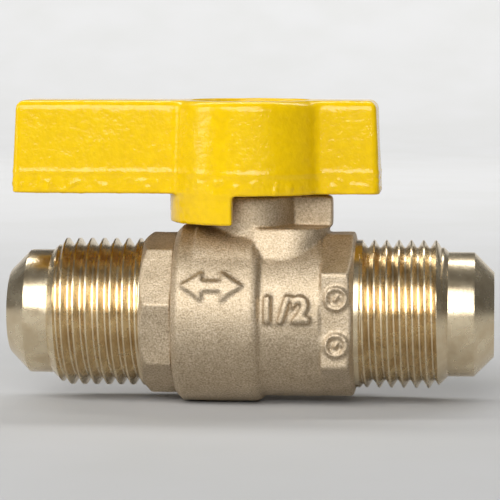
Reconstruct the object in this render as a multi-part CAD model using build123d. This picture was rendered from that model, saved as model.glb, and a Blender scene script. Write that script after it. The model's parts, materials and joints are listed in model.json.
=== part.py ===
from build123d import *
import os
from math import acos, asin, cos, pi, radians, sin, tan

# Quarter-turn gas ball valve with two male flare ends and a cast T-handle.
# Origin: centre of the ball, where the flow axis (X) meets the stem axis (Z).
# The inlet, with the screwed-in end adapter, is at -X. The valve is open as modelled.

# ---- flare ends: 45 degree flare for 1/2 in tube, 3/4-16 UNF ----
thread_r = 9.525              # major radius
thread_pitch = 25.4 / 16
thread_depth = 0.96
flow_r = 4.75                 # passage through the whole valve
lip_wall = 0.7                # flat rim at the small end of the 45 degree seat
nose_relief = 0.565           # the plain nose is this much below the thread's root
flare_angle = 45

inlet_nose_length = 3.0
inlet_thread_length = 12.0
outlet_nose_length = 3.3
outlet_thread_length = 11.25
outlet_land = 0.55            # unthreaded land between the thread and the hexagon

# ---- ball and seats ----
ball_r = 8.3
ball_slot_width = 3.0
ball_slot_wall = 1.35         # left between the slot and the passage
cavity_gap = 0.6              # round the ball
seat_gap = 0.05               # between the ball and each seat
seat_width = 2.4
seat_depth = 2.6
seat_set_back = 0.05          # the ball stands this far past each seat's back face
pocket_gap = 0.05             # round the seats and rings in their pockets
ring_width = 0.75
ring_height = 0.8
ring_stem_gap = 0.25          # the ring stays clear of the stem's flange

# ---- end adapter ----
octagon_over_thread = 0.15    # from the thread's crest to a flat
octagon_over_spigot = 0.025   # a flat is never below the spigot it hides
octagon_length = 3.3          # full section
octagon_turn = 10.5           # first corner, degrees above the front
adapter_chamfer = 0.85        # turned corner between thread and octagon
adapter_floor = 1.05          # behind the inlet seat
seat_proud = 0.25             # the inlet seat stands out of the spigot

# ---- body ----
barrel_wall = 1.8             # over the adapter's bore
barrel_right = 1.0
barrel_chamfer = 0.9
step_drop = 0.8               # turned step beside the barrel
step_past_seat = 1.25
step_chamfer = 0.45
shoulder = 1.0                # length of the rounded shoulder between barrel and step
hexagon_over_thread = 0.875   # from the thread's crest to a flat
hexagon_length = 3.3
hexagon_chamfer = 0.6
forging_round = 0.45          # soft corners of the forged flats

# ---- stem ----
stem_r = 4.0
stem_gap = 0.04               # running clearance in the neck
stem_flange_width = 0.85
stem_flange_height = 1.0
stem_flange_gap = 0.45        # above the ball
washer_height = 0.7
washer_width = 0.75
washer_rim_gap = 0.05
stem_pocket_gap = 0.12
tang_gap = 0.04               # each side in the ball's slot
tang_inset = 0.2
groove_depth = 0.95
groove_height = 1.2
groove_land = 0.9             # from the thrust washer up to the first groove
groove_spacing = 2.0
o_ring_gap = 0.02
flat_cut = 1.0                # each side of the double D
stem_top_gap = 0.3            # stem stops short of the washer

# ---- neck, flared root and travel stop ----
neck_wall = 1.86
neck_lip = 0.75               # above the upper groove
root_height = 4.33            # flared part of the neck
root_foot_flare = 2.4         # in front of the neck and behind it, at the flare's foot
root_top_flare = 0.2          # and at its top
root_foot_reach = 3.2         # past the neck, towards the outlet and under the stop
root_top_reach = 4.5
root_foot_half_length = 5.0
root_top_half_length = 6.0
saddle_drop = 1.3             # the saddle blends the neck into the barrel on the inlet side
saddle_lift = 2.0
saddle_reach = 0.6            # past the neck, towards the inlet
stop_half_width = 1.4
stop_past_skirt = 0.5
stop_corner = 0.7
stop_web_half_width = 1.3
web_inset = 0.1

# ---- handle ----
neck_gap = 0.32               # the handle rests on the stem's shoulder, clear of the neck
handle_height = 11.9
handle_draft = 2.5            # degrees, wider at the bottom
arm_half_width = 5.0
arm_tip_narrowing = 0.35
long_arm = 30.4
short_arm = 16.9
arm_corner = 1.1
hub_blend = 1.3
hub_over_skirt = 0.09
hub_wall = 2.84               # round the recess
handle_top_round = 1.15
handle_web = 2.78             # thickness of the floor under the recess
core_wall = 2.0
core_roof = 3.0
core_hub_wall = 1.6
flats_gap = 0.05
skirt_neck_gap = 1.7
skirt_wall = 2.65
skirt_clearance = 0.4         # over the body's highest part
skirt_root_gap = 0.57         # over the neck's flare
stop_gap = 0.05               # left between skirt and stop at each end of the travel

# ---- handle fastening ----
screw_r = 2.0                 # M4
screw_gap = 0.05
screw_length = 8.0
screw_end_gap = 1.0           # the hole is deeper than the screw
screw_head_r = 4.0
screw_head_height = 2.6
screw_head_round = 1.2
cross_width = 1.1
cross_reach = 2.1
cross_depth = 1.5
washer_hole_gap = 0.15
flat_washer_width = 2.35
flat_washer_height = 0.8
lock_washer_width = 1.65
lock_washer_height = 0.9
lock_washer_split = 0.5

# ---- places along the flow axis that follow from the sizes above ----
thread_core_r = thread_r - thread_depth
stem_flange_r = stem_r + stem_flange_width
nose_r = thread_core_r - nose_relief
flare_lip_r = flow_r + lip_wall
flare_length = (nose_r - flare_lip_r) * tan(radians(flare_angle))
seat_back = ball_r - seat_set_back
seat_front = seat_back - seat_depth
seat_outer_r = flow_r + seat_width
seat_pocket_r = seat_outer_r + pocket_gap
cavity_r = ball_r + cavity_gap
spigot_r = cavity_r + ring_width
adapter_bore_r = spigot_r + pocket_gap
barrel_r = adapter_bore_r + barrel_wall
barrel_left = -seat_back - adapter_floor
spigot_end = -max(seat_front + seat_proud, stem_flange_r + ring_stem_gap + ring_height)
ring_seat = spigot_end + ring_height
octagon_flats = 2 * max(thread_r + octagon_over_thread, spigot_r + octagon_over_spigot)
inlet_thread_end = barrel_left - octagon_length - adapter_chamfer
inlet_nose = inlet_thread_end - inlet_thread_length
inlet_lip = inlet_nose - inlet_nose_length - flare_length
step_r = barrel_r - step_drop
step_right = seat_back + step_past_seat
hexagon_left = step_right + step_chamfer
hexagon_right = hexagon_left + hexagon_length
hexagon_flats = 2 * (thread_r + hexagon_over_thread)
outlet_thread_start = hexagon_right + hexagon_chamfer + outlet_land
outlet_nose = outlet_thread_start + outlet_thread_length
outlet_lip = outlet_nose + outlet_nose_length + flare_length

# ---- places along the stem axis ----
stem_bore_r = stem_r + stem_gap
stem_pocket_r = stem_flange_r + stem_pocket_gap
stem_flange_bottom = ball_r + stem_flange_gap
flange_top = stem_flange_bottom + stem_flange_height
stem_pocket_top = flange_top + washer_height
ball_slot_floor = flow_r + ball_slot_wall
groove_r = stem_r - groove_depth
lower_groove = stem_pocket_top + groove_land
upper_groove = lower_groove + groove_spacing
neck_r = stem_bore_r + neck_wall
neck_top = upper_groove + groove_height + neck_lip
skirt_bottom = max(barrel_r, hexagon_flats / 2) + skirt_clearance
skirt_inner_r = neck_r + skirt_neck_gap
skirt_outer_r = skirt_inner_r + skirt_wall
root_top = skirt_bottom - skirt_root_gap
root_bottom = root_top - root_height
stop_reach = skirt_outer_r + stop_past_skirt
stop_clear = stop_half_width + stop_gap
hub_r = skirt_outer_r + hub_over_skirt
recess_r = hub_r - hub_wall
handle_bottom = neck_top + neck_gap
handle_floor = handle_bottom + handle_web
handle_top = handle_bottom + handle_height
stem_flats = 2 * (stem_r - flat_cut)
stem_top = handle_floor - stem_top_gap
washer_hole_r = screw_r + washer_hole_gap
flat_washer_top = handle_floor + flat_washer_height
screw_seat = flat_washer_top + lock_washer_height
screw_end = screw_seat - screw_length


def turned(points):
    """Solid of revolution about the flow axis from (x, radius) points."""
    profile = make_face(Polyline(*points, close=True))
    return revolve(Plane.XZ * profile, axis=Axis.X)


def turned_up(points):
    """Solid of revolution about the stem axis from (radius, z) points."""
    profile = make_face(Polyline(*points, close=True))
    return revolve(Plane.XZ * profile, axis=Axis.Z)


def rod_x(radius, start, end):
    return turned([(start, 0), (start, radius), (end, radius), (end, 0)])


def rod_z(radius, bottom, top):
    return Pos(0, 0, (bottom + top) / 2) * Cylinder(radius, top - bottom)


def block(x_range, y_range, z_range):
    sizes = [high - low for low, high in (x_range, y_range, z_range)]
    middle = [(low + high) / 2 for low, high in (x_range, y_range, z_range)]
    return Pos(*middle) * Box(*sizes)


def prism_x(flats, sides, first_corner, start, end):
    """Prism along X. The first corner is measured in degrees from -Y towards +Z."""
    corner_r = flats / 2 / cos(pi / sides)
    corners = []
    for number in range(sides):
        angle = radians(first_corner + number * 360 / sides)
        corners.append((-corner_r * cos(angle), corner_r * sin(angle)))
    face = Plane.YZ.offset(start) * make_face(Polyline(*corners, close=True))
    prism = extrude(face, amount=end - start)
    return fillet(prism.edges().filter_by(Axis.X), forging_round)


def thread_cutter(start, length):
    """Right-hand groove that runs out half a turn past each end of the threaded length."""
    root_half = thread_pitch / 16
    crest_half = (thread_pitch - thread_pitch / 8) / 2
    over = 0.08
    mouth_half = crest_half + over * (crest_half - root_half) / thread_depth
    mouth_r = thread_r + over
    path = Helix(thread_pitch, length + thread_pitch, thread_core_r)
    groove = Polyline(
        (thread_core_r, -root_half),
        (mouth_r, -mouth_half),
        (mouth_r, mouth_half),
        (thread_core_r, root_half),
        close=True,
    )
    cutter = sweep(Plane.XZ * make_face(groove), path=path, is_frenet=True)
    return Pos(start - thread_pitch / 2, 0, 0) * Rot(0, 90, 0) * cutter


def flare_end_points(direction, root, nose, lip):
    """Outline of one flare end from the thread's inner end to the lip, as (x, radius)."""
    flare_base = lip - direction * flare_length
    thread_chamfer = direction * (thread_r - nose_r)
    return [
        (root, thread_r),
        (nose - thread_chamfer, thread_r),
        (nose, nose_r),
        (flare_base, nose_r),
        (lip, flare_lip_r),
    ]


def make_end_adapter():
    chamfer_end = inlet_thread_end + adapter_chamfer
    corner_r = octagon_flats / 2 / cos(pi / 8)
    octagon = prism_x(octagon_flats, 8, octagon_turn, inlet_thread_end, barrel_left)
    octagon &= turned([
        (inlet_thread_end, 0),
        (inlet_thread_end, thread_r),
        (chamfer_end, corner_r),
        (barrel_left, corner_r),
        (barrel_left, 0),
    ])
    outline = [(barrel_left, 0), (barrel_left, thread_r)]
    outline += flare_end_points(-1, inlet_thread_end, inlet_nose, inlet_lip)
    end = turned(outline + [(inlet_lip, 0)])
    end -= thread_cutter(inlet_nose, inlet_thread_length)
    spigot = rod_x(spigot_r, barrel_left - 1, spigot_end)
    adapter = end + octagon + spigot
    adapter -= rod_x(flow_r, inlet_lip - 1, spigot_end + 1)
    return adapter - rod_x(seat_pocket_r, -seat_back, spigot_end + 1)


def make_barrel():
    rounded = shoulder * sin(radians(45))
    drop = barrel_r - step_r
    return turned([
        (barrel_left, 0),
        (barrel_left, barrel_r - barrel_chamfer),
        (barrel_left + barrel_chamfer, barrel_r),
        (barrel_right, barrel_r),
        (barrel_right + rounded, barrel_r - drop * (1 - cos(radians(45)))),
        (barrel_right + shoulder, step_r),
        (step_right, step_r),
        (hexagon_left, step_r - (hexagon_left - step_right)),
        (hexagon_left, 0),
    ])


def make_outlet_end():
    hexagon = prism_x(hexagon_flats, 6, 30, hexagon_left, hexagon_right + hexagon_chamfer)
    half = hexagon_flats / 2
    hexagon &= block((0, outlet_nose), (-half, half), (-half, half))
    corner_r = half / cos(pi / 6)
    hexagon &= turned([
        (hexagon_left, 0),
        (hexagon_left, corner_r),
        (hexagon_right, corner_r),
        (hexagon_right + hexagon_chamfer, thread_r),
        (hexagon_right + hexagon_chamfer, 0),
    ])
    outline = [(hexagon_left, 0), (hexagon_left, thread_r)]
    outline += flare_end_points(1, outlet_thread_start, outlet_nose, outlet_lip)
    end = turned(outline + [(outlet_lip, 0)])
    end -= thread_cutter(outlet_thread_start, outlet_thread_length)
    return end + hexagon


def make_neck():
    neck = rod_z(neck_r, 0, neck_top)
    top_middle = neck_r + root_top_reach - root_top_half_length
    foot_middle = neck_r + root_foot_reach - root_foot_half_length
    top = Pos(top_middle, 0, root_top) * Ellipse(root_top_half_length, neck_r + root_top_flare)
    foot = Pos(foot_middle, 0, root_bottom) * Ellipse(root_foot_half_length, neck_r + root_foot_flare)
    root = loft([foot, top])
    saddle_r = barrel_r - saddle_drop
    saddle = Pos(0, 0, saddle_lift) * rod_x(saddle_r, -neck_r - saddle_reach, barrel_right)
    saddle &= block((-neck_r - 1, barrel_right + 1), (-barrel_r, barrel_r), (0, root_top))
    stop = block((neck_r - 1, stop_reach), (-stop_half_width, stop_half_width), (root_top, neck_top))
    outer_top = stop.edges().filter_by(Axis.Y).sort_by(Axis.X)[-2:].sort_by(Axis.Z)[-1]
    stop = fillet(outer_top, stop_corner)
    web_reach = stop_reach - web_inset
    web_sides = (-stop_web_half_width, stop_web_half_width)
    web = block((neck_r - 1, web_reach), web_sides, (root_bottom, root_top + stop_corner))
    return neck + root + saddle + stop + web


def make_body():
    body = make_barrel() + make_outlet_end() + make_neck()
    body -= rod_x(adapter_bore_r, barrel_left - 1, ring_seat)
    body -= rod_x(cavity_r, ring_seat - 1, seat_front)
    body -= rod_x(seat_pocket_r, seat_front - 1, seat_back)
    body -= rod_x(flow_r, seat_back - 1, outlet_lip + 1)
    body -= rod_z(stem_pocket_r, 0, stem_pocket_top)
    return body - rod_z(stem_bore_r, 0, neck_top + 1)


def make_seal_ring():
    outer = rod_x(spigot_r, spigot_end, ring_seat)
    return outer - rod_x(spigot_r - ring_width, spigot_end - 1, ring_seat + 1)


def make_seat(side):
    """PTFE ring with a hollow face that follows the ball. side is -1 for the inlet."""
    hollow_r = ball_r + seat_gap
    rim_angle = asin(flow_r / hollow_r)
    lip_angle = acos(seat_front / hollow_r)
    middle = (rim_angle + lip_angle) / 2
    rim = (hollow_r * cos(rim_angle), flow_r)
    lip = (seat_front, hollow_r * sin(lip_angle))
    hollow = ThreePointArc(rim, (hollow_r * cos(middle), hollow_r * sin(middle)), lip)
    walls = Polyline(lip, (seat_front, seat_outer_r), (seat_back, seat_outer_r), (seat_back, flow_r), rim)
    ring = revolve(Plane.XZ * make_face([hollow, walls]), axis=Axis.X)
    return ring if side > 0 else mirror(ring, about=Plane.YZ)


def make_ball():
    ball = Sphere(ball_r) - rod_x(flow_r, -ball_r, ball_r)
    half_slot = ball_slot_width / 2
    return ball - block((-half_slot, half_slot), (-ball_r, ball_r), (ball_slot_floor, ball_r + 1))


def make_double_d(radius, flats, bottom, top):
    half = flats / 2
    return rod_z(radius, bottom, top) & block((-half, half), (-radius, radius), (bottom, top))


def make_stem():
    stem = rod_z(stem_r, flange_top, handle_bottom)
    stem += rod_z(stem_flange_r, stem_flange_bottom, flange_top)
    for level in (lower_groove, upper_groove):
        stem -= turned_up([
            (groove_r, level),
            (stem_r + 1, level),
            (stem_r + 1, level + groove_height),
            (groove_r, level + groove_height),
        ])
    half_tang = ball_slot_width / 2 - tang_gap
    tang_reach = stem_r - tang_inset
    tang_sides = (-tang_reach, tang_reach)
    stem += block((-half_tang, half_tang), tang_sides, (ball_slot_floor, stem_flange_bottom))
    stem += make_double_d(stem_r, stem_flats, handle_bottom, stem_top)
    return stem - rod_z(screw_r, screw_end - screw_end_gap, stem_top + 1)


def make_thrust_washer():
    ring = rod_z(stem_flange_r - washer_rim_gap, flange_top, stem_pocket_top)
    return ring - rod_z(stem_flange_r - washer_width, flange_top - 1, stem_pocket_top + 1)


def make_o_ring(level):
    section_r = (stem_bore_r - o_ring_gap - groove_r) / 2
    place = Pos(0, 0, level + groove_height / 2)
    return place * Torus(groove_r + section_r, section_r)


def arm_outline(reach, side):
    """Plan of one arm, from the stem axis to its rounded tip."""
    tip_half = arm_half_width - arm_tip_narrowing
    corners = [
        (0, -arm_half_width),
        (side * reach, -tip_half),
        (side * reach, tip_half),
        (0, arm_half_width),
    ]
    arm = make_face(Polyline(*corners, close=True))
    tips = arm.vertices().sort_by(Axis.X)
    tips = tips[-2:] if side > 0 else tips[:2]
    return fillet(tips, arm_corner)


def handle_outline():
    plan = Circle(hub_r) + arm_outline(long_arm, -1) + arm_outline(short_arm, 1)
    inside = [v for v in plan.vertices() if abs(v.X) < hub_r and abs(v.Y) < hub_r]
    return fillet(inside, hub_blend)


def make_core_pocket():
    """Hollow under the long arm, open downwards, as the casting is cored."""
    half = arm_half_width - core_wall
    outer_end = -(long_arm - core_wall)
    inner_end = -(hub_r + core_hub_wall)
    pocket_top = handle_top - core_roof
    pocket = block((outer_end, inner_end), (-half, half), (handle_bottom - 1, pocket_top))
    return fillet(pocket.edges().filter_by(Axis.Z), arm_corner)


def make_skirt():
    """Part ring below the hub. Its two end faces meet the stop a quarter turn apart."""
    skirt = rod_z(skirt_outer_r, skirt_bottom, handle_bottom + 1)
    skirt -= rod_z(skirt_inner_r, skirt_bottom - 1, handle_bottom + 2)
    past = skirt_outer_r + 1
    return skirt - block((-stop_clear, past), (-past, stop_clear), (skirt_bottom - 1, handle_bottom + 2))


def make_handle():
    handle = extrude(Pos(0, 0, handle_bottom) * handle_outline(), handle_height, taper=handle_draft)
    top_edges = handle.faces().sort_by(Axis.Z)[-1].edges()
    handle = fillet(top_edges, handle_top_round)
    handle += make_skirt()
    handle -= rod_z(recess_r, handle_floor, handle_top + 1)
    handle -= make_double_d(stem_r + flats_gap, stem_flats + 2 * flats_gap, 0, handle_top)
    return handle - make_core_pocket()


def make_handle_washer():
    disc = rod_z(washer_hole_r + flat_washer_width, handle_floor, flat_washer_top)
    return disc - rod_z(washer_hole_r, handle_floor - 1, flat_washer_top + 1)


def make_lock_washer():
    outer_r = washer_hole_r + lock_washer_width
    ring = rod_z(outer_r, flat_washer_top, screw_seat)
    ring -= rod_z(washer_hole_r, flat_washer_top - 1, screw_seat + 1)
    half = lock_washer_split / 2
    split = block((-half, half), (0, outer_r + 1), (-3, 3))
    return ring - Pos(0, 0, (flat_washer_top + screw_seat) / 2) * Rot(0, 35, 0) * split


def make_screw():
    head_top = screw_seat + screw_head_height
    head = rod_z(screw_head_r, screw_seat, head_top)
    head = fillet(head.edges().sort_by(Axis.Z)[-1], screw_head_round)
    screw = head + rod_z(screw_r - screw_gap, screw_end, screw_seat)
    half = cross_width / 2
    slot = block((-cross_reach, cross_reach), (-half, half), (head_top - cross_depth, head_top + 1))
    return screw - slot - Rot(0, 0, 90) * slot


nodes = {
    "body": make_body(),
    "end_adapter": make_end_adapter(),
    "adapter_seal_ring": make_seal_ring(),
    "inlet_seat": make_seat(-1),
    "outlet_seat": make_seat(1),
    "ball": make_ball(),
    "stem": make_stem(),
    "stem_thrust_washer": make_thrust_washer(),
    "stem_o_ring_lower": make_o_ring(lower_groove),
    "stem_o_ring_upper": make_o_ring(upper_groove),
    "handle": make_handle(),
    "handle_washer": make_handle_washer(),
    "handle_lock_washer": make_lock_washer(),
    "handle_screw": make_screw(),
}

os.makedirs("parts", exist_ok=True)
for name, solid in nodes.items():
    export_step(solid, f"parts/{name}.step")
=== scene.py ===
import json
from math import acos, asin, atan2, cos, degrees, hypot, inf, pi, radians, sin, sqrt, tan
import bmesh
import bpy
from mathutils import Matrix, Vector, noise


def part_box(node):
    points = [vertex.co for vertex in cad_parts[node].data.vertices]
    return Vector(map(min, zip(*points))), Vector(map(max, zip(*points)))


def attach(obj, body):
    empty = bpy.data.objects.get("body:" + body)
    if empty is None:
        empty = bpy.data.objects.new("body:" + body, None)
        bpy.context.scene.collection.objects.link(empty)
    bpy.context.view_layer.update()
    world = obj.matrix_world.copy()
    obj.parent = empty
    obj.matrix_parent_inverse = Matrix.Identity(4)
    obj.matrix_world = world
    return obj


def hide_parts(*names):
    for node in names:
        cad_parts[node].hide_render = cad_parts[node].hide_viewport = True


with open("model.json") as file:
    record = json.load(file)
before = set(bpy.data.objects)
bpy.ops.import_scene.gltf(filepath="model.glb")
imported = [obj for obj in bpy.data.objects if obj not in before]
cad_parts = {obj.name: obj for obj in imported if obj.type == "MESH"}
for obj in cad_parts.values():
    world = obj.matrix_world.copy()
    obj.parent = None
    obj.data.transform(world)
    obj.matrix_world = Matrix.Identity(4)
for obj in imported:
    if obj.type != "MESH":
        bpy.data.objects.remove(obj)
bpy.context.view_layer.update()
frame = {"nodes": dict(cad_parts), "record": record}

mm = 0.001
scene = bpy.context.scene
scene.view_settings.view_transform = "Standard"      # keeps the yellow as saturated as the paint is

bodyLow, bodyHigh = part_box("body")
adapterLow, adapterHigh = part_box("end_adapter")
handleLow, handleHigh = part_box("handle")
mounts = {mount["name"]: mount for mount in frame["record"]["mounts"]}
flowR = mounts["flow_passage"]["dims"]["r_mm"] * mm
threadR = mounts["outlet_thread"]["dims"]["r_mm"] * mm
noseR = mounts["outlet_flare"]["dims"]["r_mm"] * mm
print("frame loaded", len(frame["nodes"]), "nodes")


# camera
cameraView = {
    "distance": 347,      # mm from the stem axis
    "toOutlet": 30.6,     # stands a little towards the outlet
    "height": 37.0,
    "aimHeight": 8.1,
    "picture": 64.65,     # width seen at the stem axis
}

def addCamera(view):
    place = Vector((view["toOutlet"], -view["distance"], view["height"])) * mm
    aim = Vector((0, 0, view["aimHeight"])) * mm
    data = bpy.data.cameras.new("camera")
    data.lens = data.sensor_width * (aim - place).length / (view["picture"] * mm)
    data.clip_start = 0.01
    camera = bpy.data.objects.new("camera", data)
    camera.location = place
    camera.rotation_euler = (aim - place).to_track_quat("-Z", "Y").to_euler()
    scene.collection.objects.link(camera)
    scene.camera = camera

addCamera(cameraView)


# helpers for meshes
def sortedFaces(bm):
    # in a fixed order: bmesh's own order changes from run to run
    bm.verts.index_update()
    return sorted([vert.index for vert in face.verts] for face in bm.faces)

def linkPiece(name, bm, material=None, sharpAngle=35):
    bmesh.ops.remove_doubles(bm, verts=bm.verts, dist=0.002 * mm)
    bmesh.ops.recalc_face_normals(bm, faces=bm.faces)
    mesh = bpy.data.meshes.new(name)
    mesh.from_pydata([vert.co for vert in bm.verts], [], sortedFaces(bm))
    bm.free()
    mesh.shade_smooth()
    mesh.set_sharp_from_angle(angle=radians(sharpAngle))
    piece = bpy.data.objects.new(name, mesh)
    scene.collection.objects.link(piece)
    if material:
        mesh.materials.append(material)
    return piece

def applyModifiers(piece):
    graph = bpy.context.evaluated_depsgraph_get()
    mesh = bpy.data.meshes.new_from_object(piece.evaluated_get(graph))
    piece.modifiers.clear()
    piece.data = mesh

def cutAndJoin(piece, tools):
    for operation, tool in tools:
        modifier = piece.modifiers.new(operation, "BOOLEAN")
        modifier.operation = operation
        modifier.solver = "EXACT"
        modifier.object = tool
    applyModifiers(piece)
    for operation, tool in tools:
        bpy.data.objects.remove(tool)

def blendForging(piece, voxel, rounds):
    # a fine voxel skin melts the joined solids into one casting with soft edges
    remesh = piece.modifiers.new("skin", "REMESH")
    remesh.mode = "VOXEL"
    remesh.voxel_size = voxel * mm
    smooth = piece.modifiers.new("soften", "SMOOTH")
    smooth.factor = 0.5
    smooth.iterations = rounds
    applyModifiers(piece)
    piece.data.shade_smooth()

def spinX(bm, outline, closed=True, steps=96):
    # outline is (x, radius) in mm, spun about the flow axis
    verts = [bm.verts.new((x * mm, 0, r * mm)) for x, r in outline]
    edges = [bm.edges.new(pair) for pair in zip(verts, verts[1:])]
    if closed:
        edges.append(bm.edges.new((verts[-1], verts[0])))
    bmesh.ops.spin(bm, geom=verts + edges, axis=(1, 0, 0), angle=2 * pi, steps=steps, use_merge=True)

def slicePlane(bm, place, normal, clear=False, cap=False):
    # clear drops what lies past the plane, and cap closes the cut
    cut = bmesh.ops.bisect_plane(bm, geom=bm.verts[:] + bm.edges[:] + bm.faces[:], plane_co=place,
                                 plane_no=normal, clear_outer=clear)
    if cap:
        bmesh.ops.holes_fill(bm, edges=[e for e in cut["geom_cut"] if isinstance(e, bmesh.types.BMEdge)])

def ringEdges(ring):
    # each edge once, in the ring's own order, so that every run is the same
    return list(dict.fromkeys(edge for vert in ring["verts"] for edge in vert.link_edges))

def moveSkin(piece, push, ceiling=inf):
    # push gives how far out the skin moves at a vertex, in mm; ceiling is in metres
    bm = bmesh.new()
    bm.from_mesh(piece.data)
    moves = [vert.normal * push(vert) * mm for vert in bm.verts]
    for vert, move in zip(bm.verts, moves):
        vert.co += move
        vert.co.z = min(vert.co.z, ceiling)
    bm.to_mesh(piece.data)
    bm.free()

def layeredNoise(vert, layers):
    # layers are (feature size, height) pairs in mm
    return sum(noise.noise(vert.co / (feature * mm)) * height for feature, height in layers)

def addRod(bm, radius, low, high, axis="Z", segments=96):
    turn = Matrix.Rotation(pi / 2, 4, "Y") if axis == "X" else Matrix.Identity(4)
    shift = Vector((0, 0, (low + high) / 2 * mm))
    bmesh.ops.create_cone(bm, cap_ends=True, segments=segments, radius1=radius * mm, radius2=radius * mm,
                          depth=(high - low) * mm, matrix=turn @ Matrix.Translation(shift))

def addBlock(bm, low, high):
    low, high = Vector(low) * mm, Vector(high) * mm
    size = Matrix.Diagonal((*(high - low), 1))
    bmesh.ops.create_cube(bm, size=1, matrix=Matrix.Translation((low + high) / 2) @ size)

def rodPiece(radius, low, high, axis="Z"):
    bm = bmesh.new()
    addRod(bm, radius, low, high, axis)
    return linkPiece("tool", bm)

def blockPiece(low, high):
    bm = bmesh.new()
    addBlock(bm, low, high)
    return linkPiece("tool", bm)


# materials
def rgb(hexCode):
    channels = [int(hexCode[i:i + 2], 16) / 255 for i in (0, 2, 4)]
    return [c / 12.92 if c <= 0.04045 else ((c + 0.055) / 1.055) ** 2.4 for c in channels] + [1]

def addNode(tree, kind, settings, links=()):
    node = tree.nodes.new(kind)
    for key, value in settings.items():
        if key == "stops":
            while len(node.color_ramp.elements) < len(value):
                node.color_ramp.elements.new(0.5)
            for element, (position, colour) in zip(node.color_ramp.elements, value):
                element.position = position
                element.color = rgb(colour)
        elif isinstance(key, int) or key in node.inputs:
            node.inputs[key].default_value = value
        else:
            setattr(node, key, value)
    for key, source in links:
        tree.links.new(source, node.inputs[key])
    return node

def startMaterial(name, **sockets):
    material = bpy.data.materials.new(name)
    material.use_nodes = True
    tree = material.node_tree
    shader = tree.nodes["Principled BSDF"]
    for key, value in sockets.items():
        shader.inputs[key.replace("_", " ")].default_value = value
    place = tree.nodes.new("ShaderNodeTexCoord").outputs["Object"]
    return material, tree, shader, place

def blastedBrass():
    # forged yellow brass, shot blasted: a dry, even sparkle of grit dents over soft forging waves
    material, tree, shader, place = startMaterial("blastedBrass", Metallic=1.0)
    gritSize = 0.22                                  # mm, twice the real grit so that it shows
    wave = 2.5                                       # mm, forging waves and stains
    grit = addNode(tree, "ShaderNodeTexNoise",
                   {"Scale": 1 / (gritSize * mm), "Detail": 3.0, "Roughness": 0.6},
                   [("Vector", place)])
    stain = addNode(tree, "ShaderNodeTexNoise", {"Scale": 1 / (wave * mm), "Detail": 4.0},
                    [("Vector", place)])
    tint = addNode(tree, "ShaderNodeValToRGB", {"stops": [(0.3, "a99b86"), (0.5, "cfc1aa"), (0.7, "e8ddcc")]},
                   [("Fac", grit.outputs["Fac"])])
    age = addNode(tree, "ShaderNodeValToRGB", {"stops": [(0.3, "d3c5ae"), (0.65, "ece2d3")]},
                  [("Fac", stain.outputs["Fac"])])
    colour = addNode(tree, "ShaderNodeMix", {"data_type": "RGBA", "blend_type": "MULTIPLY", "Factor": 0.55},
                     [(6, tint.outputs["Color"]), (7, age.outputs["Color"])])
    rough = addNode(tree, "ShaderNodeMapRange", {"To Min": 0.46, "To Max": 0.66},
                    [("Value", grit.outputs["Fac"])])
    dents = addNode(tree, "ShaderNodeBump", {"Strength": 0.85, "Distance": 0.07 * mm},
                    [("Height", grit.outputs["Fac"])])
    tree.links.new(colour.outputs[2], shader.inputs["Base Color"])
    tree.links.new(rough.outputs["Result"], shader.inputs["Roughness"])
    tree.links.new(dents.outputs["Normal"], shader.inputs["Normal"])
    return material

def turnedBrass():
    # brass straight off the lathe: bright, with tool rings round the flow axis
    material, tree, shader, place = startMaterial("turnedBrass", Metallic=1.0)
    ringPitch = 0.16                                 # mm, feed marks, coarser than real so that they show
    rings = addNode(tree, "ShaderNodeTexWave", {"bands_direction": "X", "Scale": 1 / (ringPitch * mm) / 3.2,
                    "Distortion": 0.6, "Detail": 2.0, "Detail Scale": 0.4}, [("Vector", place)])
    cloud = addNode(tree, "ShaderNodeTexNoise", {"Scale": 1 / (1.8 * mm), "Detail": 3.0},
                    [("Vector", place)])
    tint = addNode(tree, "ShaderNodeValToRGB", {"stops": [(0.3, "d4c09e"), (0.7, "e8d8b8")]},
                   [("Fac", cloud.outputs["Fac"])])
    rough = addNode(tree, "ShaderNodeMapRange", {"To Min": 0.20, "To Max": 0.33},
                    [("Value", cloud.outputs["Fac"])])
    feed = addNode(tree, "ShaderNodeBump", {"Strength": 0.35, "Distance": 0.012 * mm},
                   [("Height", rings.outputs["Fac"])])
    tree.links.new(tint.outputs["Color"], shader.inputs["Base Color"])
    tree.links.new(rough.outputs["Result"], shader.inputs["Roughness"])
    tree.links.new(feed.outputs["Normal"], shader.inputs["Normal"])
    return material

def yellowPaint():
    # thick glossy enamel sprayed on a zinc casting, with fine orange peel over soft swells
    material, tree, shader, place = startMaterial("yellowPaint", Metallic=0.0, IOR=1.42)
    peel = addNode(tree, "ShaderNodeTexNoise", {"Scale": 1 / (0.9 * mm), "Detail": 2.0},
                   [("Vector", place)])
    fine = addNode(tree, "ShaderNodeTexNoise", {"Scale": 1 / (0.35 * mm), "Detail": 2.0},
                   [("Vector", place)])
    tint = addNode(tree, "ShaderNodeValToRGB", {"stops": [(0.3, "dcb300"), (0.7, "e5bd00")]},
                   [("Fac", peel.outputs["Fac"])])
    height = addNode(tree, "ShaderNodeMath", {"operation": "MULTIPLY_ADD", 1: 0.5},
                     [(0, fine.outputs["Fac"]), (2, peel.outputs["Fac"])])
    rough = addNode(tree, "ShaderNodeMapRange", {"To Min": 0.13, "To Max": 0.2},
                    [("Value", fine.outputs["Fac"])])
    bump = addNode(tree, "ShaderNodeBump", {"Strength": 0.7, "Distance": 0.08 * mm},
                   [("Height", height.outputs["Value"])])
    tree.links.new(tint.outputs["Color"], shader.inputs["Base Color"])
    tree.links.new(rough.outputs["Result"], shader.inputs["Roughness"])
    tree.links.new(bump.outputs["Normal"], shader.inputs["Normal"])
    return material

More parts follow.
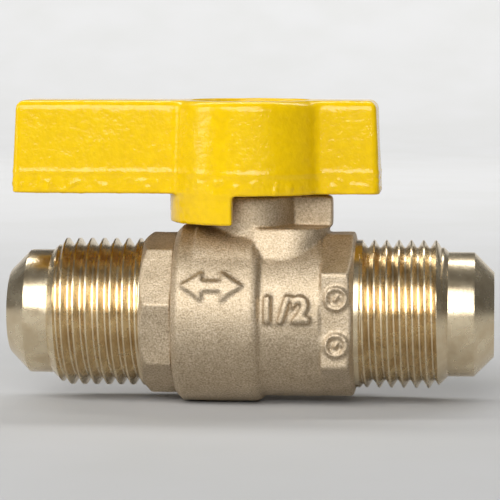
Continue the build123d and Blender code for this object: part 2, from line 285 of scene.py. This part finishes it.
def grainMaterial(name, dark, light, grain, roughLow, roughHigh, depth, **sockets):
    # small inner pieces: one grain that tints, dulls and dents the surface
    material, tree, shader, place = startMaterial(name, **sockets)
    speck = addNode(tree, "ShaderNodeTexNoise", {"Scale": 1 / (grain * mm), "Detail": 4.0},
                    [("Vector", place)])
    tint = addNode(tree, "ShaderNodeValToRGB", {"stops": [(0.35, dark), (0.65, light)]},
                   [("Fac", speck.outputs["Fac"])])
    rough = addNode(tree, "ShaderNodeMapRange", {"To Min": roughLow, "To Max": roughHigh},
                    [("Value", speck.outputs["Fac"])])
    bump = addNode(tree, "ShaderNodeBump", {"Strength": 0.3, "Distance": depth * mm},
                   [("Height", speck.outputs["Fac"])])
    tree.links.new(tint.outputs["Color"], shader.inputs["Base Color"])
    tree.links.new(rough.outputs["Result"], shader.inputs["Roughness"])
    tree.links.new(bump.outputs["Normal"], shader.inputs["Normal"])
    return material

finishes = {
    "forged_brass": blastedBrass(),
    "turned_brass": turnedBrass(),
    "yellow_paint": yellowPaint(),
    # chrome plated brass ball, polished: mirror with faint haze
    "plated_ball": grainMaterial("chromePlate", "d6d8da", "f1f2f3", 0.8, 0.05, 0.11, 0.004, Metallic=1.0),
    # PTFE, skived or moulded: white, waxy and slightly see-through
    "ptfe": grainMaterial("ptfe", "e2e1da", "f4f3ee", 0.5, 0.42, 0.55, 0.01, IOR=1.38, Subsurface_Weight=0.1),
    # nitrile rubber, moulded: matte black
    "o_ring_rubber": grainMaterial("nitrileRubber", "141414", "232322", 0.25, 0.55, 0.75, 0.01, IOR=1.52),
    # steel with bright zinc plating: cool grey, slightly cloudy
    "zinc_steel": grainMaterial("zincPlatedSteel", "b9bec2", "dfe2e3", 0.35, 0.22, 0.36, 0.006, Metallic=1.0),
}
slots = {row["node"]: row["material_slot"] for row in frame["record"]["subparts"]}
for nodeName, cadNode in frame["nodes"].items():
    cadNode.data.materials.clear()
    cadNode.data.materials.append(finishes[slots[nodeName]])
print("materials made", len(finishes))


# body forging
body = {
    "barrelR": 11.44,
    "barrelEnd": 1.0,        # x where the barrel's shoulder starts
    "shoulder": 1.0,         # its length
    "shoulderEdge": (0.7, 0.24),          # rounding on it: along the axis, and inwards
    "chamfer": 0.9,
    "stepR": 10.7,
    "stepEnd": 9.5,
    "stepDrop": 0.45,        # turned down before the hexagon
    "hexStart": 9.95,
    "hexEnd": 13.25,
    "hexFlats": 20.8,
    "landStart": 13.85,
    "coreR": 6.4,            # hidden hollow that the turned ends' tubes fill
    "chamberR": 8.9,
    "chamberEnd": 5.6,
    "neckR": 5.9,
    "stemHoleR": 4.04,
    "rootTop": (11.33, 3.6, 6.8, 6.1),    # height, middle, half length and half width of the flare's top
    "rootFoot": (6.8, 4.0, 5.7, 7.9),
    "rootSquare": 2.8,       # 2 is an ellipse, more is squarer
    "saddleR": 10.2,         # blends the neck into the barrel on the inlet side
    "saddleLift": 2.0,
    "saddlePastNeck": 0.6,
    "stopHalf": 1.4,
    "stopReach": 10.75,
    "stopCorner": 0.7,
    "webHalf": 1.3,
    "voxel": 0.222,
    "rounds": 4,
}

def bodyBlank(size):
    bm = bmesh.new()
    left = bodyLow.x / mm
    barrelR, barrelEnd, chamfer = size["barrelR"], size["barrelEnd"], size["chamfer"]
    along, inwards = size["shoulderEdge"]
    outline = [(left, 0), (left, barrelR - chamfer), (left + chamfer, barrelR), (barrelEnd, barrelR)]
    outline += [(barrelEnd + along, barrelR - inwards), (barrelEnd + size["shoulder"], size["stepR"])]
    outline += [(size["stepEnd"], size["stepR"]), (size["hexStart"], size["stepR"] - size["stepDrop"])]
    outline += [(size["hexStart"], 0)]
    spinX(bm, outline, closed=False)
    return linkPiece("bodyForging", bm)

def hexagonPiece(size):
    bm = bmesh.new()
    flatR = size["hexFlats"] / 2
    cornerR = flatR / cos(pi / 6)
    start, end = size["hexStart"] - 0.2, size["landStart"]
    alongX = Matrix.Rotation(pi / 2, 4, "Y") @ Matrix.Translation((0, 0, (start + end) / 2 * mm))
    bmesh.ops.create_cone(bm, cap_ends=True, segments=6, radius1=cornerR * mm, radius2=cornerR * mm,
                          depth=(end - start) * mm, matrix=alongX)
    bmesh.ops.transform(bm, matrix=Matrix.Rotation(pi / 6, 4, "X"), verts=bm.verts)   # a flat faces front
    for side in (-1, 1):   # the two upright corners are forged flat
        slicePlane(bm, Vector((0, 0, side * flatR * mm)), (0, 0, side), clear=True, cap=True)
    piece = linkPiece("tool", bm)
    bm = bmesh.new()
    spinX(bm, [(start - 1, 0), (start - 1, cornerR), (size["hexEnd"], cornerR - 0.1),
               (size["landStart"], threadR / mm - 0.1), (size["landStart"], 0)], closed=False)
    cutAndJoin(piece, [("INTERSECT", linkPiece("tool", bm))])
    return piece

def rootPiece(size):
    # flare under the neck that leans towards the outlet, as far as the stop
    bm = bmesh.new()
    rings = []
    for height, middle, halfLength, halfWidth in (size["rootFoot"], size["rootTop"]):
        stretch = Matrix.Diagonal((halfLength, halfWidth, 1, 1))
        place = Matrix.Translation(Vector((middle, 0, height)) * mm) @ stretch
        ring = bmesh.ops.create_circle(bm, cap_ends=True, segments=96, radius=1)
        for vert in ring["verts"]:
            power = size["rootSquare"]
            vert.co *= mm / (abs(vert.co.x) ** power + abs(vert.co.y) ** power) ** (1 / power)
        bmesh.ops.transform(bm, matrix=place, verts=ring["verts"])
        rings += ringEdges(ring)
    bmesh.ops.bridge_loops(bm, edges=rings)
    return linkPiece("tool", bm)

def saddlePiece(size):
    bm = bmesh.new()
    addRod(bm, size["saddleR"], -size["neckR"] - size["saddlePastNeck"], size["barrelEnd"], "X")
    bmesh.ops.translate(bm, vec=(0, 0, size["saddleLift"] * mm), verts=bm.verts)
    slicePlane(bm, (0, 0, size["rootTop"][0] * mm), (0, 0, 1), clear=True, cap=True)
    return linkPiece("tool", bm)

def stopPiece(size):
    bm = bmesh.new()
    top = bodyHigh.z / mm
    bottom = size["rootTop"][0]
    reach, half = size["stopReach"], size["stopHalf"]
    addBlock(bm, (size["neckR"] - 1, -half, bottom), (reach, half, top))
    corner = [e for e in bm.edges
              if all(v.co.x > (reach - 1) * mm and v.co.z > (top - 1) * mm for v in e.verts)]
    bmesh.ops.bevel(bm, geom=corner, offset=size["stopCorner"] * mm, segments=4, profile=0.5,
                    affect="EDGES", material=-1)
    return linkPiece("tool", bm)


# raised marks, forged with the body
arrow = {
    "middle": -4.0,          # mm along the flow axis
    "level": 4.35,           # mm above it
    "length": 8.2,
    "head": 2.9,
    "headHalf": 1.95,
    "shaftHalf": 0.72,
    "raise": 0.46,
    "sink": 0.6,             # how far the mark reaches down into the forging
    "round": 0.3,
}
numerals = {
    "text": "1/2",
    "middle": 5.2,
    "level": 1.3,
    "size": 4.3,
    "spacing": 1.2,
    "raise": 0.62,
    "round": 0.15,
    "bolder": 0.09,
}
dial = {
    "levels": (2.9, -3.0),
    "radius": 1.3,
    "bead": 0.27,
    "height": 1.9,           # stands this many times prouder than round
    "ticks": 4,
    "tick": 0.2,
    "tickPlace": 0.75,       # share of the radius
    "hand": 0.3,
    "handStretch": (2.2, 0.9),
    "handTurn": 60,          # degrees
    "offset": 0.1,           # from the middle of the hexagon's flat, along the pipe
}

def wrapOn(bm, radius, middle, level):
    # lays a flat mark (x along the flow, y up, z out) round the front of the body
    for vert in bm.verts:
        across = vert.co.y / radius + asin(level * mm / radius)
        out = radius + vert.co.z
        vert.co = Vector((middle * mm + vert.co.x, -out * cos(across), out * sin(across)))

def sliceRows(bm, half, count):
    for k in range(count):
        row = half * (2 * (k + 0.5) / count - 1)
        slicePlane(bm, (0, row * mm, 0), (0, 1, 0))

def arrowMark(size):
    bm = bmesh.new()
    end, neck = size["length"] / 2, size["length"] / 2 - size["head"]
    quarter = [(end, 0), (neck, size["headHalf"]), (neck, size["shaftHalf"])]
    outline = quarter + [(-x, y) for x, y in reversed(quarter)] + [(-x, -y) for x, y in quarter[1:]]
    outline += [(x, -y) for x, y in reversed(quarter[1:])]
    face = bm.faces.new([bm.verts.new((x * mm, y * mm, -size["sink"] * mm)) for x, y in outline])
    grown = bmesh.ops.extrude_face_region(bm, geom=[face])["geom"]
    top = [g for g in grown if isinstance(g, bmesh.types.BMVert)]
    bmesh.ops.translate(bm, vec=(0, 0, (size["raise"] + size["sink"]) * mm), verts=top)
    rims = [e for e in bm.edges if all(v.co.z > 0 for v in e.verts)]
    bmesh.ops.bevel(bm, geom=rims, offset=size["round"] * mm, segments=4, profile=0.5,
                    affect="EDGES", material=-1)
    sliceRows(bm, size["headHalf"], 8)
    wrapOn(bm, body["barrelR"] * mm, size["middle"], size["level"])
    return bm

def numeralsMark(size):
    curve = bpy.data.curves.new("numerals", "FONT")
    curve.body = size["text"]
    curve.align_x, curve.align_y = "CENTER", "CENTER"
    curve.size = size["size"]
    curve.extrude = size["raise"] - size["round"]
    curve.bevel_depth = size["round"]
    curve.bevel_resolution = 3
    curve.offset = size["bolder"]
    curve.space_character = size["spacing"]
    letters = bpy.data.objects.new("numerals", curve)
    scene.collection.objects.link(letters)
    bpy.context.view_layer.update()
    graph = bpy.context.evaluated_depsgraph_get()
    bm = bmesh.new()
    bm.from_mesh(bpy.data.meshes.new_from_object(letters.evaluated_get(graph)))
    bpy.data.objects.remove(letters)
    bmesh.ops.scale(bm, vec=(mm, mm, mm), verts=bm.verts)
    sliceRows(bm, size["size"] / 2, 10)
    wrapOn(bm, body["stepR"] * mm, size["middle"], size["level"])
    return bm

def dialMark(level, size):
    # a date dial on the hexagon: ring, ticks and hand
    bm = bmesh.new()
    face = -body["hexFlats"] / 2
    middle = (body["hexStart"] + body["hexEnd"]) / 2 + size["offset"]
    edgeOn = Matrix.Translation((size["radius"] * mm, 0, 0)) @ Matrix.Rotation(pi / 2, 4, "X")
    ring = bmesh.ops.create_circle(bm, segments=12, radius=size["bead"] * mm, matrix=edgeOn)
    bmesh.ops.spin(bm, geom=ring["verts"] + ringEdges(ring), axis=(0, 0, 1), angle=2 * pi, steps=40,
                   use_merge=True)
    for k in range(size["ticks"]):
        turn = Matrix.Rotation(2 * pi * k / size["ticks"], 4, "Z")
        spot = turn @ Matrix.Translation((size["radius"] * size["tickPlace"] * mm, 0, 0))
        bmesh.ops.create_uvsphere(bm, u_segments=10, v_segments=6, radius=size["tick"] * mm, matrix=spot)
    long, wide = size["handStretch"]
    hand = Matrix.Rotation(radians(size["handTurn"]), 4, "Z") @ Matrix.Diagonal((long, wide, 1, 1))
    bmesh.ops.create_uvsphere(bm, u_segments=12, v_segments=8, radius=size["hand"] * mm, matrix=hand)
    upright = Matrix.Translation(Vector((middle, face, level)) * mm) @ Matrix.Rotation(pi / 2, 4, "X")
    bmesh.ops.transform(bm, matrix=upright @ Matrix.Diagonal((1, 1, size["height"], 1)), verts=bm.verts)
    return bm

def addMarks(piece, marks):
    # the marks only overlap the forging here, and its skin then melts them in
    whole = bmesh.new()
    whole.from_mesh(piece.data)
    for bm in marks:
        bmesh.ops.remove_doubles(bm, verts=bm.verts, dist=0.002 * mm)
        bmesh.ops.recalc_face_normals(bm, faces=bm.faces)
        mesh = bpy.data.meshes.new("mark")
        bm.to_mesh(mesh)
        bm.free()
        whole.from_mesh(mesh)
    whole.to_mesh(piece.data)
    whole.free()


# body forging, whole
def makeBodyForging(size):
    piece = bodyBlank(size)
    left = bodyLow.x / mm
    neckTop = bodyHigh.z / mm
    web = blockPiece((size["neckR"] - 2, -size["webHalf"], size["rootFoot"][0] - 1),
                     (size["stopReach"] - 0.1, size["webHalf"], size["rootTop"][0] + 0.5))
    tools = [
        ("UNION", rodPiece(size["neckR"], 0, neckTop)),
        ("UNION", hexagonPiece(size)),
        ("UNION", rootPiece(size)),
        ("UNION", saddlePiece(size)),
        ("UNION", web),
        ("UNION", stopPiece(size)),
        ("DIFFERENCE", rodPiece(size["coreR"], left - 1, size["landStart"] + 1, "X")),
        ("DIFFERENCE", rodPiece(size["chamberR"], left - 1, size["chamberEnd"], "X")),
        ("DIFFERENCE", rodPiece(size["stemHoleR"], 0, neckTop + 1)),
    ]
    cutAndJoin(piece, tools)
    dials = [dialMark(level, dial) for level in dial["levels"]]
    addMarks(piece, [arrowMark(arrow), numeralsMark(numerals)] + dials)
    blendForging(piece, size["voxel"], size["rounds"])
    return piece

bodyForging = makeBodyForging(body)
moveSkin(bodyForging, lambda vert: layeredNoise(vert, [(3.0, 0.035), (0.7, 0.012)]))
bodyForging.data.materials.append(finishes["forged_brass"])
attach(bodyForging, "valve_body")
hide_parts("body")
print("body forging", len(bodyForging.data.polygons))


# turned flare ends
flare = {
    "pitch": 25.4 / 16,
    "depth": 0.96,
    "lipR": 5.45,
    "edge": 0.12,             # tiny broken edges
    "steps": 96,
    "sleeveR": 6.3,           # hidden inside the forging
    "tubeEnd": 8.3,           # how near the stem axis the passage's tube comes
    "leadSlope": 1.2,         # thread rising from its land
}

def threadStrip(bm, start, end, size):
    # one pitch of thread form, spun up a helix past both ends and cut square
    pitch, depth = size["pitch"], size["depth"]
    top, root = threadR / mm, threadR / mm - depth
    flat = pitch / 8
    flank = (pitch - 2 * flat) / 2
    form = [(0, root), (flat, root)]
    form += [(flat + flank * k / 5, root + depth * k / 5) for k in range(1, 6)]
    form += [(2 * flat + flank, top)]
    form += [(2 * flat + flank + flank * k / 5, top - depth * k / 5) for k in range(1, 6)]
    turns = int((end - start) / pitch) + 3
    verts = [bm.verts.new(((start - 1.5 * pitch + x) * mm, 0, r * mm)) for x, r in form]
    edges = [bm.edges.new(pair) for pair in zip(verts, verts[1:])]
    steps = size["steps"]
    bmesh.ops.spin(bm, geom=verts + edges, axis=(1, 0, 0), angle=2 * pi * turns, steps=steps * turns,
                   dvec=(pitch / steps * mm, 0, 0))
    bmesh.ops.remove_doubles(bm, verts=bm.verts, dist=0.003 * mm)
    for plane, side in ((start, -1), (end, 1)):
        slicePlane(bm, (plane * mm, 0, 0), (side, 0, 0), clear=True)

def rimAt(bm, x):
    near = 0.001 * mm
    return [e for e in bm.edges if e.is_boundary and all(abs(v.co.x - x * mm) < near for v in e.verts)]

def growRim(bm, rim, outline):
    # carries an open rim on through (x, radius) stations
    for x, radius in outline:
        grown = bmesh.ops.extrude_edge_only(bm, edges=rim)["geom"]
        for vert in [g for g in grown if isinstance(g, bmesh.types.BMVert)]:
            wide = hypot(vert.co.y, vert.co.z)
            vert.co = Vector((x * mm, vert.co.y * radius * mm / wide, vert.co.z * radius * mm / wide))
        rim = [g for g in grown if isinstance(g, bmesh.types.BMEdge)]
    return rim

def makeFlareEnd(name, side, landX, threadX, noseX, lipX, innerX, size):
    # side is 1 towards +X; stations run from the land out to the lip and back down the passage
    bm = bmesh.new()
    low, high = sorted((threadX, noseX))
    threadStrip(bm, low, high, size)
    nose, top = noseR / mm, threadR / mm
    for vert in bm.verts:
        wide = hypot(vert.co.y, vert.co.z) / mm
        x = vert.co.x / mm
        fit = min(max(wide, top - abs(x - threadX) * size["leadSlope"]), nose + abs(x - noseX))
        vert.co.y *= fit / wide
        vert.co.z *= fit / wide
    edge = size["edge"]
    cone = lipX - side * (nose - size["lipR"])
    bore = flowR / mm
    outer = [(cone - side * edge, nose), (cone + side * edge * 0.4, nose - edge * 0.3),
             (lipX - side * edge, size["lipR"] + edge), (lipX, size["lipR"] - edge * 0.3),
             (lipX, bore + edge), (lipX - side * edge, bore), (innerX, bore)]
    outerRim = growRim(bm, rimAt(bm, noseX), outer)
    inner = [(landX, top), (landX - side * 0.3, size["sleeveR"]), (innerX, size["sleeveR"])]
    innerRim = growRim(bm, rimAt(bm, threadX), inner)
    bmesh.ops.bridge_loops(bm, edges=outerRim + innerRim)
    piece = linkPiece(name, bm, finishes["turned_brass"], sharpAngle=14)
    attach(piece, "valve_body")
    return piece

outletFlare, inletFlare = mounts["outlet_flare"], mounts["inlet_flare"]
outletNose = (outletFlare["pos_m"][0] - outletFlare["dims"]["length_mm"] / 2 * mm) / mm
inletNose = (inletFlare["pos_m"][0] + inletFlare["dims"]["length_mm"] / 2 * mm) / mm
outletThread = outletNose - mounts["outlet_thread"]["dims"]["length_mm"]
inletThread = inletNose + mounts["inlet_thread"]["dims"]["length_mm"]
outletEnd = makeFlareEnd("outletFlareEnd", 1, body["landStart"] - 0.1, outletThread, outletNose,
                         bodyHigh.x / mm, flare["tubeEnd"], flare)
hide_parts("body")
inletEnd = makeFlareEnd("inletFlareEnd", -1, inletThread + 0.1, inletThread, inletNose,
                        adapterLow.x / mm, -flare["tubeEnd"], flare)
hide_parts("end_adapter")
print("flare ends", len(outletEnd.data.polygons), len(inletEnd.data.polygons))


# adapter's octagon
octagon = {
    "flats": 19.35,
    "turn": 10.5,            # first corner, degrees above the front
    "chamfer": 0.85,
    "holeR": 6.2,
    "spigotR": 9.65,
    "pocketR": 7.2,          # the inlet seat's pocket
    "pocketStart": -8.25,
    "voxel": 0.17,
    "rounds": 5,
}

def makeOctagon(size):
    left, right = inletThread, bodyLow.x / mm
    cornerR = size["flats"] / 2 / cos(pi / 8)
    bm = bmesh.new()
    shift = Matrix.Translation((0, 0, (left + right) / 2 * mm))
    bmesh.ops.create_cone(bm, cap_ends=True, segments=8, radius1=cornerR * mm, radius2=cornerR * mm,
                          depth=(right - left) * mm, matrix=Matrix.Rotation(pi / 2, 4, "Y") @ shift)
    first = bm.verts[:][0].co
    angle = atan2(first.z, -first.y)
    turn = Matrix.Rotation(-(radians(size["turn"]) - angle), 4, "X")
    bmesh.ops.transform(bm, matrix=turn, verts=bm.verts)
    piece = linkPiece("adapterOctagon", bm)
    bm = bmesh.new()
    spinX(bm, [(left - 0.01, 0), (left - 0.01, threadR / mm - 0.05),
               (left + size["chamfer"], cornerR + 0.02), (right + 0.01, cornerR + 0.02),
               (right + 0.01, 0)], closed=False)
    spigot = rodPiece(size["spigotR"], right - 0.5, adapterHigh.x / mm, "X")
    hole = rodPiece(size["holeR"], left - 1, adapterHigh.x / mm, "X")
    pocket = rodPiece(size["pocketR"], size["pocketStart"], adapterHigh.x / mm + 1, "X")
    cutAndJoin(piece, [
        ("INTERSECT", linkPiece("tool", bm)),
        ("UNION", spigot),
        ("DIFFERENCE", hole),
        ("DIFFERENCE", pocket),
    ])
    blendForging(piece, size["voxel"], size["rounds"])
    return piece

adapterOctagon = makeOctagon(octagon)
moveSkin(adapterOctagon, lambda vert: layeredNoise(vert, [(2.4, 0.04), (0.7, 0.012)]))
adapterOctagon.data.materials.append(finishes["forged_brass"])
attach(adapterOctagon, "valve_body")
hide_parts("end_adapter")
print("octagon", len(adapterOctagon.data.polygons))


# handle casting
handle = {
    "hubR": 10.34,
    "armHalf": 5.0,
    "tipNarrow": 0.35,
    "blend": 1.3,
    "corner": 1.1,
    "draft": 2.5,
    "topRound": 1.15,
    "ridgeHeight": 2.7,       # parting ridge above the bottom edge
    "ridge": 0.10,
    "ridgeBlend": 0.45,       # reach of the ridge's slopes above and below it
    "ridgeFoot": 2.3,         # heights whose draft the slopes' ends take
    "ridgeHead": 3.1,
    "armBottom": 15.62,
    "skirtBottom": 11.9,
    "recessR": 7.5,
    "floor": 18.4,
    "skirtInnerR": 7.6,
    "skirtOuterR": 10.25,
    "stopGap": 1.45,
    "coreWall": 2.0,
    "coreToHub": 1.6,
    "coreRoof": 3.0,
    "holeR": 4.05,
    "holeFlats": 6.1,
    "voxel": 0.216,
    "rounds": 4,
}

def arc(centre, radius, start, end, count):
    angles = [radians(start + (end - start) * k / count) for k in range(count + 1)]
    return [(centre[0] + radius * cos(a), centre[1] + radius * sin(a)) for a in angles]

def handleOutline(size, inset):
    # plan of the whole handle, anticlockwise from the front of the hub
    hub, half = size["hubR"] - inset, size["armHalf"] - inset
    blend, corner = size["blend"] + inset, max(size["corner"] - inset, 0.15)
    points = []
    reaches = {1: handleHigh.x / mm - inset, -1: -handleLow.x / mm - inset}
    for side in (1, -1):
        reach = reaches[side]
        tip = half - size["tipNarrow"]
        meet = sqrt((hub + blend) ** 2 - (half + blend) ** 2)
        toHub = degrees(acos(meet / (hub + blend)))
        front = arc((meet, -half - blend), blend, 180 - toHub, 90, 6)
        front += arc((reach - corner, -tip + corner), corner, -90, 0, 6)
        quarter = front + [(x, -y) for x, y in reversed(front)]
        hubArc = arc((0, 0), hub, toHub, 180 - toHub, 48)[1:-1]
        part = quarter + hubArc
        points += part if side == 1 else [(-x, -y) for x, y in part]
    return points

def addOutline(bm, size, inset, height):
    verts = [bm.verts.new((x * mm, y * mm, height * mm)) for x, y in handleOutline(size, inset)]
    return [bm.edges.new((verts[k], verts[k - 1])) for k in range(len(verts))]

def handleBlank(size):
    bm = bmesh.new()
    bottom = handleLow.z / mm + (size["armBottom"] - size["skirtBottom"])
    top = handleHigh.z / mm
    lean = tan(radians(size["draft"]))
    ridge = bottom + size["ridgeHeight"]
    blend = size["ridgeBlend"]
    stations = [(bottom, 0), (ridge - blend, lean * size["ridgeFoot"])]
    stations += [(ridge, lean * size["ridgeHeight"] - size["ridge"])]
    stations += [(ridge + blend, lean * size["ridgeHead"])]
    rounding = size["topRound"]
    topStart = top - rounding
    inset = lean * (topStart - bottom)
    for k in range(7):
        angle = radians(90 * k / 6)
        stations.append((topStart + rounding * sin(angle), inset + rounding * (1 - cos(angle))))
    loops = [addOutline(bm, size, step, height) for height, step in stations]
    for lower, upper in zip(loops, loops[1:]):
        bmesh.ops.bridge_loops(bm, edges=lower + upper)
    bmesh.ops.holes_fill(bm, edges=loops[0])
    bmesh.ops.holes_fill(bm, edges=loops[-1])
    return linkPiece("handleCasting", bm), bottom, top

def makeHandle(size):
    piece, bottom, top = handleBlank(size)
    skirtBottom = handleLow.z / mm
    skirt = rodPiece(size["skirtOuterR"], skirtBottom, bottom + 1)
    gap = size["stopGap"]
    cutAndJoin(skirt, [
        ("DIFFERENCE", rodPiece(size["skirtInnerR"], skirtBottom - 1, bottom + 2)),
        ("DIFFERENCE", blockPiece((-gap, -14, skirtBottom - 1), (14, gap, bottom + 2))),
    ])
    hole = rodPiece(size["holeR"], bottom - 2, top)
    flats = size["holeFlats"] / 2
    cutAndJoin(hole, [("INTERSECT", blockPiece((-flats, -6, bottom - 3), (flats, 6, top + 1)))])
    wall = size["coreWall"]
    half = size["armHalf"] - wall
    core = blockPiece((handleLow.x / mm + wall, -half, bottom - 1),
                      (-size["hubR"] - size["coreToHub"], half, top - size["coreRoof"]))
    cutAndJoin(piece, [
        ("UNION", skirt),
        ("DIFFERENCE", rodPiece(size["recessR"], size["floor"], top + 1)),
        ("DIFFERENCE", hole),
        ("DIFFERENCE", core),
    ])
    blendForging(piece, size["voxel"], size["rounds"])
    return piece, bottom

paint = {
    "swells": [(4.0, 0.04), (1.1, 0.012)],
    "lump": 0.9,              # mm, feature size
    "lumpShift": (7, 3, 1),   # where in the noise the lumps are taken
    "lumpFloor": 0.15,
    "lumpHeight": 0.26,
    "fadeUp": 1.0,            # below the ridge
    "fadeDown": 0.8,          # above the bottom edge
    "lowest": 0.3,            # share of the lumps left at the edge itself
}

def dripPaint(piece, bottom, size, film):
    # paint gathers in lumps and small runs under the parting ridge
    ridge = bottom + size["ridgeHeight"]
    shift = Vector(film["lumpShift"])

    def push(vert):
        height = vert.co.z / mm
        low = min(max((ridge - height) / film["fadeUp"], 0), 1)
        low *= min(max((height - bottom) / film["fadeDown"], film["lowest"]), 1)
        field = noise.noise(vert.co / (film["lump"] * mm) + shift)
        lump = max(field - film["lumpFloor"], 0) * film["lumpHeight"] * low
        return layeredNoise(vert, film["swells"]) + lump

    moveSkin(piece, push, ceiling=handleHigh.z)

handleCasting, handleBottom = makeHandle(handle)
dripPaint(handleCasting, handleBottom, handle, paint)
handleCasting.data.materials.append(finishes["yellow_paint"])
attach(handleCasting, "handle_assembly")
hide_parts("handle")
print("handle", len(handleCasting.data.polygons))


# floor and light
def addStage():
    # pale sweep: floor that curves up into a backdrop
    bm = bmesh.new()
    low = bodyLow.z
    line = [(-1.6, low), (0.7, low)]
    line += [(0.7 + 0.3 * sin(radians(a)), low + 0.3 * (1 - cos(radians(a)))) for a in range(10, 91, 10)]
    verts = [bm.verts.new((-2.5, y, z)) for y, z in line]
    edges = [bm.edges.new(pair) for pair in zip(verts, verts[1:])]
    grown = bmesh.ops.extrude_edge_only(bm, edges=edges)["geom"]
    bmesh.ops.translate(bm, vec=(5, 0, 0), verts=[g for g in grown if isinstance(g, bmesh.types.BMVert)])
    material, tree, shader, place = startMaterial("paleFloor", Roughness=0.9)
    mottle = addNode(tree, "ShaderNodeTexNoise", {"Scale": 40.0, "Detail": 2.0}, [("Vector", place)])
    tint = addNode(tree, "ShaderNodeValToRGB", {"stops": [(0.3, "b2b2b1"), (0.7, "b5b5b5")]},
                   [("Fac", mottle.outputs["Fac"])])
    tree.links.new(tint.outputs["Color"], shader.inputs["Base Color"])
    linkPiece("floor", bm, material)

def addLight(name, place, aim, wide, tall, power, colour="ffffff"):
    data = bpy.data.lights.new(name, "AREA")
    data.shape = "RECTANGLE"
    data.size, data.size_y = wide, tall
    data.energy = power
    data.color = rgb(colour)[:3]
    light = bpy.data.objects.new(name, data)
    light.location = place
    light.rotation_euler = (Vector(aim) - Vector(place)).to_track_quat("-Z", "Y").to_euler()
    scene.collection.objects.link(light)

addStage()
addLight("frontSoftbox", (-0.12, -0.60, 0.43), (0, 0, 0), 0.7, 0.38, 4.5)
addLight("lowFill", (0.05, -0.76, 0.225), (0, 0, 0), 0.7, 0.10, 1.8)
addLight("leftFill", (-0.65, -0.25, 0.25), (0, 0, 0), 0.3, 0.4, 1.7)
addLight("backdropWash", (0, 0.35, 0.7), (0, 0.9, 0.1), 1.6, 0.2, 15.0)
world = bpy.data.worlds.new("studio")
world.use_nodes = True
world.node_tree.nodes["Background"].inputs["Color"].default_value = (1, 1, 1, 1)
world.node_tree.nodes["Background"].inputs["Strength"].default_value = 0.12
scene.world = world
print("stage and lights set")
